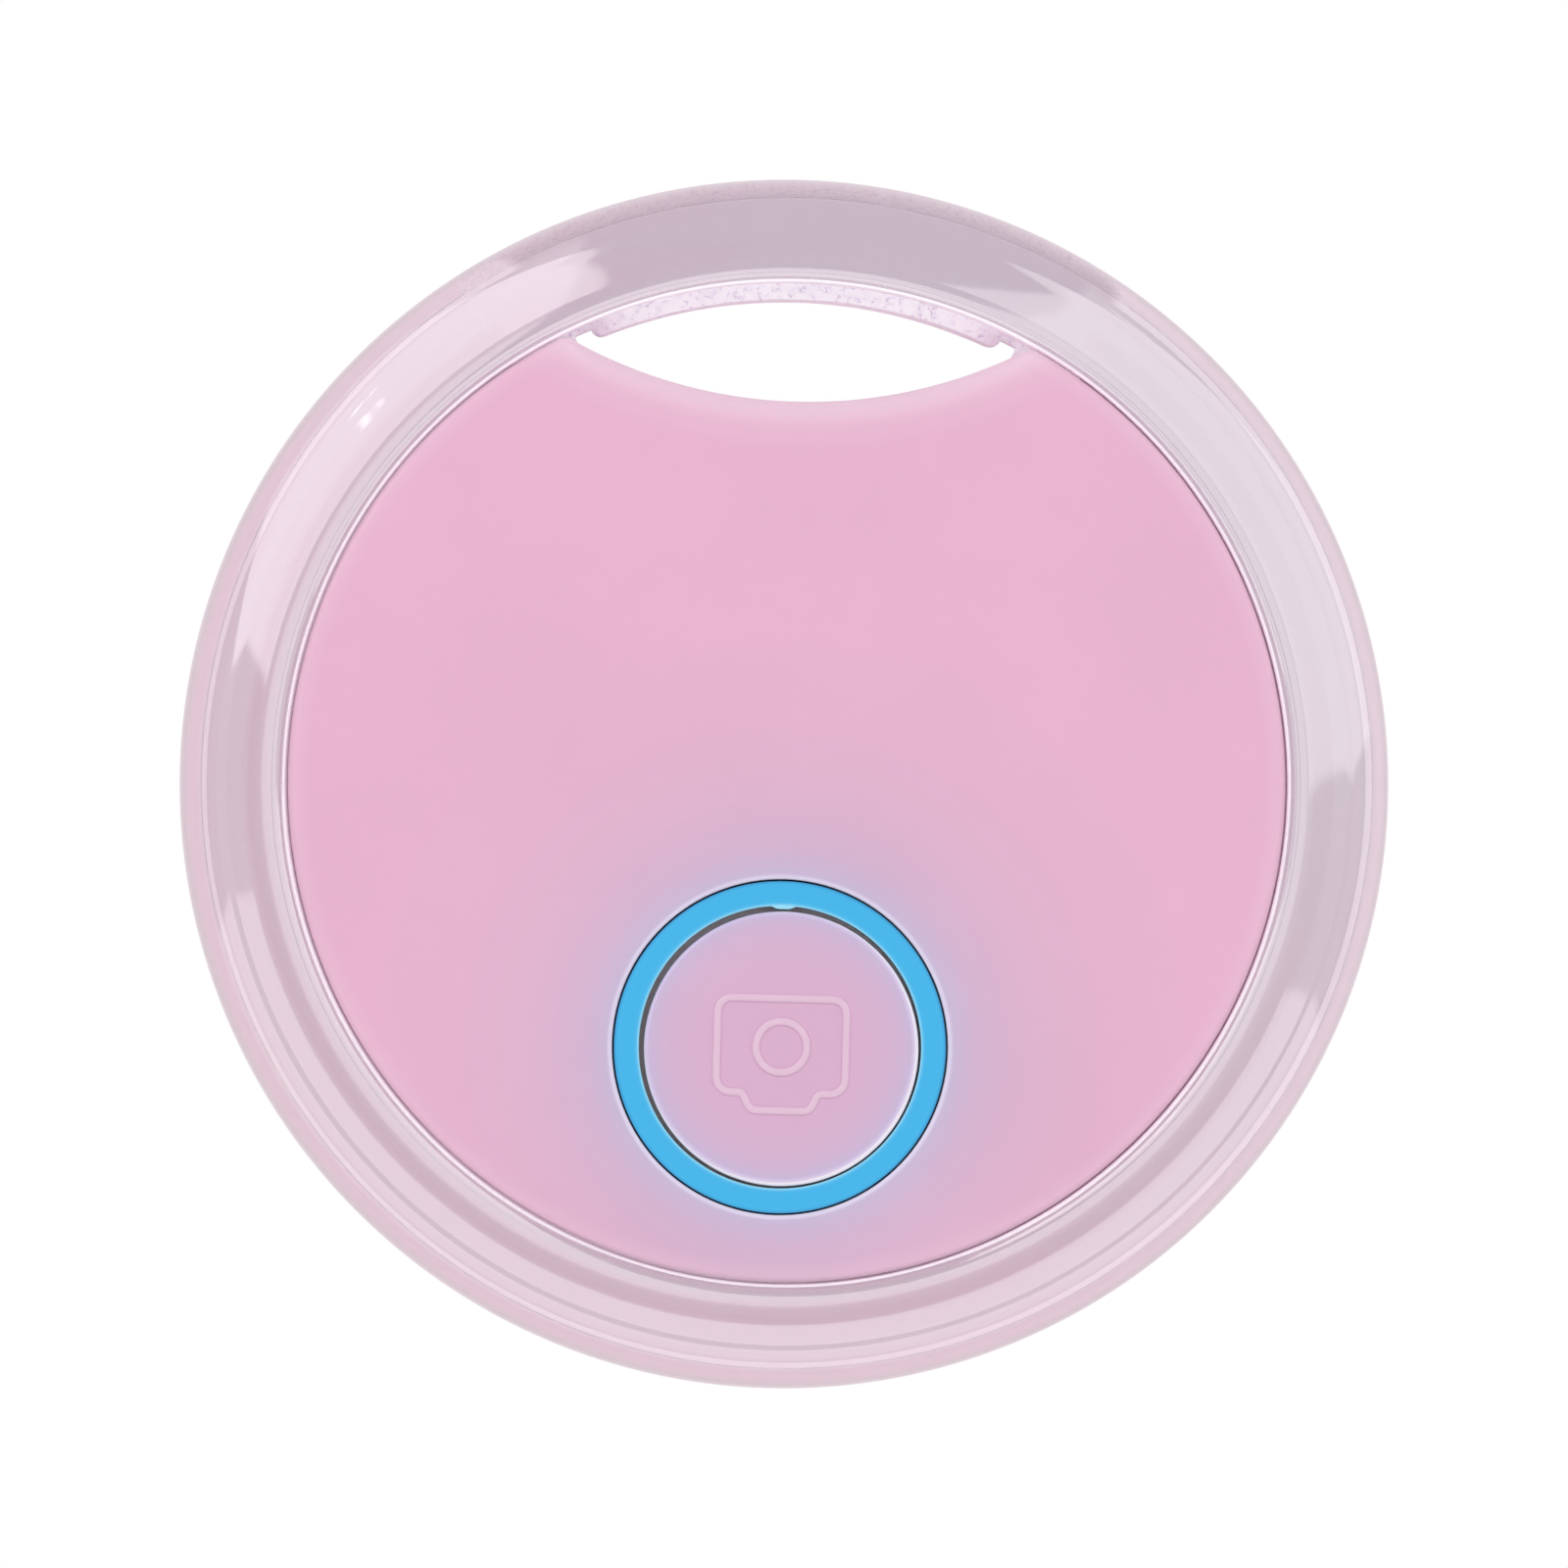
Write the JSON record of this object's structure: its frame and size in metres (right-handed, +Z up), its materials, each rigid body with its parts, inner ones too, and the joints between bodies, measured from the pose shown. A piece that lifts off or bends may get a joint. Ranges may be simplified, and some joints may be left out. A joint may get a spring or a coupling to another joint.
{
  "type": "bluetooth tracker tag",
  "caption": "Round tracker tag: clear bumper ring round a pink casing, a key-ring opening at the top, a lit push button and a screw-out battery cover behind.",
  "frame": {"origin": "the point at the top of the key-ring opening where a key ring bears on the clear ring's pad, on the disc's middle plane", "axes": "+Z up, the way the tag hangs; -Y out of the front face with the button; +X to the right seen from the front"},
  "size_m": [0.038, 0.0082, 0.038],
  "materials": {
    "clear_polycarbonate": "gloss",
    "pink_plastic": "satin",
    "stainless_steel": "polished",
    "light_guide": "satin",
    "led_resin": "gloss",
    "board_resin": "satin",
    "black_epoxy": "satin",
    "white_ceramic": "matte",
    "capacitor_ceramic": "satin",
    "brass": "satin",
    "adhesive_tape": "matte",
    "red_insulation": "satin",
    "black_insulation": "satin",
    "cell_core": "satin",
    "cell_gasket_nylon": "matte",
    "plated_bronze": "polished",
    "switch_plunger_plastic": "matte",
    "silicone": "matte"
  },
  "bodies": {
    "casing": {"clear_ring": "clear_polycarbonate", "front_shell": "pink_plastic", "rear_shell": "pink_plastic", "case_screw_left": "stainless_steel", "case_screw_right": "stainless_steel", "light_ring": "light_guide", "led_1": "led_resin", "led_2": "led_resin", "led_3": "led_resin", "led_4": "led_resin", "switch_base": "black_epoxy", "switch_frame": "stainless_steel", "switch_dome": "stainless_steel", "circuit_board": "board_resin", "bluetooth_chip": "black_epoxy", "crystal": "stainless_steel", "chip_antenna": "white_ceramic", "buzzer_inductor": "black_epoxy", "capacitor_1": "capacitor_ceramic", "capacitor_2": "capacitor_ceramic", "capacitor_3": "capacitor_ceramic", "capacitor_4": "capacitor_ceramic", "resistor_1": "black_epoxy", "resistor_2": "black_epoxy", "resistor_3": "black_epoxy", "piezo_plate": "brass", "piezo_ceramic": "white_ceramic", "piezo_adhesive": "adhesive_tape", "piezo_lead_red": "red_insulation", "piezo_lead_black": "black_insulation", "cell_can": "stainless_steel", "cell_cap": "cell_core", "cell_gasket": "cell_gasket_nylon", "negative_contact": "plated_bronze", "positive_contact_left": "plated_bronze", "positive_contact_right": "plated_bronze"},
    "button": {"button_cap": "pink_plastic", "switch_plunger": "switch_plunger_plastic"},
    "seal": {"cover_seal": "silicone"},
    "cover": {"battery_cover": "pink_plastic"}
  },
  "joints": [
    {"name": "button_press", "type": "slide", "parent": "casing", "child": "button", "axis": [0, 1, 0], "range_m": [0, 0.0002], "stiffness_N_per_m": 5000, "springref_m": -0.0001, "deforming": ["switch_dome"]},
    {"name": "cover_lift", "type": "slide", "parent": "casing", "child": "seal", "axis": [0, 1, 0], "range_m": [0, 0.0037]},
    {"name": "cover_turn", "type": "hinge", "parent": "seal", "child": "cover", "pos_m": [0, 0.0035, -0.01692], "axis": [0, 1, 0], "range_deg": [0, 180]}
  ],
  "couplings": [
    {"joint": "cover_lift", "follows": "cover_turn", "m_per_rad": 0.0011459}
  ]
}
